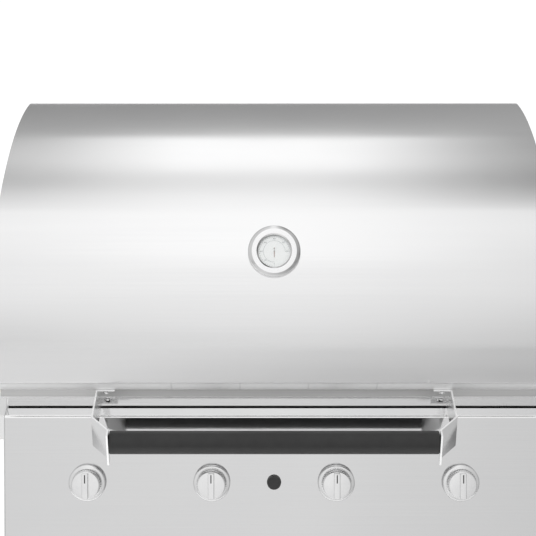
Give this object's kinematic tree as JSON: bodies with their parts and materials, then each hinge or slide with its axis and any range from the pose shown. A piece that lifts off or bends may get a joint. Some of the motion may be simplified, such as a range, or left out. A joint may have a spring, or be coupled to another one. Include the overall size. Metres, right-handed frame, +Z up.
{
  "type": "gas grill",
  "caption": "Built-in gas grill head with a hinged curved stainless hood, round thermometer, black bar handle on bent straps, sloping knob panel, firebox, grates and sliding drip tray.",
  "frame": {"origin": "middle of the bounding box, on the flat bottom", "axes": "+Z up, the hood's handle and the knobs face -Y, +X to the right seen from the front"},
  "size_m": [0.828, 0.6314, 0.5327],
  "materials": {
    "stainless": "fine horizontal brushing, satin",
    "knob_steel": "turned, satin",
    "inner_steel": "plain mill finish, dull",
    "grate": "satin",
    "chrome": "polished",
    "brass": "machined",
    "black_bar": "semi-gloss black",
    "black_plastic": "black",
    "rubber": "matt black",
    "ceramic": null,
    "dial": "white printed dial",
    "needle": "dark red",
    "glass": "clear"
  },
  "bodies": {
    "body": {"firebox_front": "inner_steel", "firebox_right": "inner_steel", "firebox_rear": "inner_steel", "firebox_left": "inner_steel", "control_panel": "stainless", "left_side_panel": "stainless", "right_side_panel": "stainless", "rear_panel": "stainless", "bottom_pan": "inner_steel", "burner_1": "inner_steel", "burner_2": "inner_steel", "burner_3": "inner_steel", "burner_4": "inner_steel", "flame_tamer_1": "inner_steel", "flame_tamer_2": "inner_steel", "flame_tamer_3": "inner_steel", "flame_tamer_4": "inner_steel", "left_grate": "grate", "right_grate": "grate", "warming_rack": "chrome", "manifold": "inner_steel", "valve_body_1": "brass", "valve_body_2": "brass", "valve_body_3": "brass", "valve_body_4": "brass", "igniter_module": "black_plastic", "left_electrode": "ceramic", "right_electrode": "ceramic", "left_hinge_bracket": "inner_steel", "right_hinge_bracket": "inner_steel", "left_hood_bumper": "rubber", "right_hood_bumper": "rubber"},
    "hood": {"hood_skin": "stainless", "left_hood_cap": "stainless", "right_hood_cap": "stainless", "hood_liner": "inner_steel", "handle_bar": "black_bar", "left_handle_strap": "stainless", "right_handle_strap": "stainless", "handle_screw_1": "stainless", "handle_screw_2": "stainless", "handle_screw_3": "stainless", "handle_screw_4": "stainless", "thermometer_case": "chrome", "thermometer_dial": "dial", "thermometer_glass": "glass", "thermometer_nut": "brass", "left_hinge_leaf": "inner_steel", "right_hinge_leaf": "inner_steel"},
    "needle": {"thermometer_needle": "needle"},
    "stem_1": {"valve_stem_1": "brass"},
    "knob_1": {"knob_1": "knob_steel"},
    "stem_2": {"valve_stem_2": "brass"},
    "knob_2": {"knob_2": "knob_steel"},
    "stem_3": {"valve_stem_3": "brass"},
    "knob_3": {"knob_3": "knob_steel"},
    "stem_4": {"valve_stem_4": "brass"},
    "knob_4": {"knob_4": "knob_steel"},
    "button": {"igniter_button": "black_plastic"},
    "tray": {"drip_tray": "inner_steel"}
  },
  "joints": [
    {"name": "hood_hinge", "type": "hinge", "parent": "body", "child": "hood", "pos_m": [0, 0.30915, 0.218], "axis": [-1, 0, 0], "range_deg": [0, 88]},
    {"name": "needle_turn", "type": "hinge", "parent": "hood", "child": "needle", "pos_m": [0, -0.14905, 0.45717], "axis": [0, 0.7986, -0.6018], "range_deg": [0, 270], "stiffness_Nm_per_rad": 0.0001},
    {"name": "valve_turn_1", "type": "hinge", "parent": "body", "child": "stem_1", "pos_m": [-0.27, -0.22173, 0.11972], "axis": [0, -0.8988, 0.4384], "range_deg": [0, 225]},
    {"name": "knob_push_1", "type": "slide", "parent": "stem_1", "child": "knob_1", "axis": [0, 0.8988, -0.4384], "range_m": [0, 0.003], "stiffness_N_per_m": 600, "springref_m": -0.004},
    {"name": "valve_turn_2", "type": "hinge", "parent": "body", "child": "stem_2", "pos_m": [-0.09, -0.22173, 0.11972], "axis": [0, -0.8988, 0.4384], "range_deg": [0, 225]},
    {"name": "knob_push_2", "type": "slide", "parent": "stem_2", "child": "knob_2", "axis": [0, 0.8988, -0.4384], "range_m": [0, 0.003], "stiffness_N_per_m": 600, "springref_m": -0.004},
    {"name": "valve_turn_3", "type": "hinge", "parent": "body", "child": "stem_3", "pos_m": [0.09, -0.22173, 0.11972], "axis": [0, -0.8988, 0.4384], "range_deg": [0, 225]},
    {"name": "knob_push_3", "type": "slide", "parent": "stem_3", "child": "knob_3", "axis": [0, 0.8988, -0.4384], "range_m": [0, 0.003], "stiffness_N_per_m": 600, "springref_m": -0.004},
    {"name": "valve_turn_4", "type": "hinge", "parent": "body", "child": "stem_4", "pos_m": [0.27, -0.22173, 0.11972], "axis": [0, -0.8988, 0.4384], "range_deg": [0, 225]},
    {"name": "knob_push_4", "type": "slide", "parent": "stem_4", "child": "knob_4", "axis": [0, 0.8988, -0.4384], "range_m": [0, 0.003], "stiffness_N_per_m": 600, "springref_m": -0.004},
    {"name": "button_push", "type": "slide", "parent": "body", "child": "button", "axis": [0, 0.8988, -0.4384], "range_m": [0, 0.005], "stiffness_N_per_m": 500, "springref_m": -0.003},
    {"name": "tray_slide", "type": "slide", "parent": "body", "child": "tray", "axis": [0, -1, 0], "range_m": [0, 0.3]}
  ]
}
